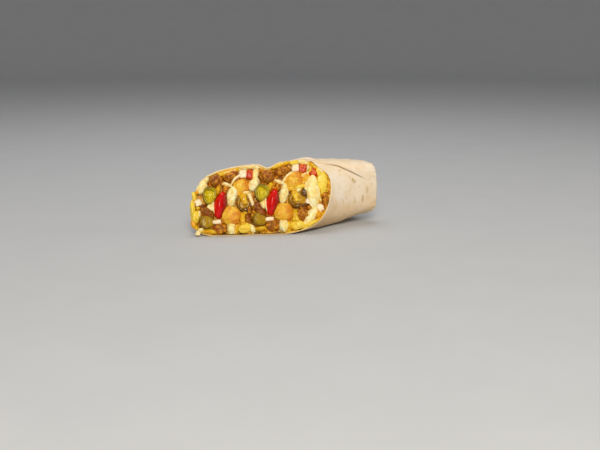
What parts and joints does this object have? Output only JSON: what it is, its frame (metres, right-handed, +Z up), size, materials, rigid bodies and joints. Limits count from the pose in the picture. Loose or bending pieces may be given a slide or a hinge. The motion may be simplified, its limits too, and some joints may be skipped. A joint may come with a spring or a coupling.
{
  "type": "burrito",
  "caption": "Breakfast burrito cut open on a slant, its wheat tortilla full of egg, cheese, potato tots, sausage, peppers, tomato and onion.",
  "frame": {"origin": "centre of the bounding box's underside, where the burrito rests", "axes": "+X along the roll from the tip of the cut to the folded end, +Z up, the cut face towards -X and -Y"},
  "size_m": [0.1636, 0.084, 0.0645],
  "materials": {
    "tortilla": "soft wheat tortilla, matt and floury with small brown griddle spots",
    "egg_and_cheese": "moist curds of scrambled egg held by melted cheese",
    "potato_tot": "crisp fried grated potato, golden orange",
    "pickled_pepper": "wet olive green skin with yellow green flesh",
    "tomato": "wet glossy red skin and paler flesh",
    "onion": "moist, slightly clear white",
    "egg": "soft moist scrambled egg, pale yellow",
    "sausage": "crumbly browned sausage with a little fat"
  },
  "bodies": {
    "root": {"egg_crown": "egg", "egg_curl": "egg", "egg_edge_a": "egg", "egg_edge_b": "egg", "egg_foot_a": "egg", "egg_foot_b": "egg", "egg_herb_a": "egg", "egg_herb_b": "egg", "egg_large": "egg", "egg_low_a": "egg", "egg_low_b": "egg", "filling": "egg_and_cheese", "jalapeno_high_a": "pickled_pepper", "jalapeno_high_b": "pickled_pepper", "jalapeno_low_a": "pickled_pepper", "jalapeno_low_b": "pickled_pepper", "jalapeno_mid_a": "pickled_pepper", "jalapeno_mid_b": "pickled_pepper", "onion_high_a": "onion", "onion_high_b": "onion", "onion_low_a": "onion", "onion_low_b": "onion", "onion_pepper": "onion", "onion_rim": "onion", "onion_tip": "onion", "sausage_crest_a": "sausage", "sausage_crest_b": "sausage", "sausage_low_a": "sausage", "sausage_low_b": "sausage", "sausage_mid_a": "sausage", "sausage_mid_b": "sausage", "sausage_near": "sausage", "sausage_nook": "sausage", "sausage_rim": "sausage", "sausage_side_a": "sausage", "sausage_side_b": "sausage", "sausage_top_a": "sausage", "sausage_top_b": "sausage", "tomato_high_a": "tomato", "tomato_high_b": "tomato", "tomato_near": "tomato", "tomato_wedge_a": "tomato", "tomato_wedge_b": "tomato", "tortilla": "tortilla", "tot_high_a": "potato_tot", "tot_high_b": "potato_tot", "tot_low_a": "potato_tot", "tot_low_b": "potato_tot"}
  },
  "joints": []
}
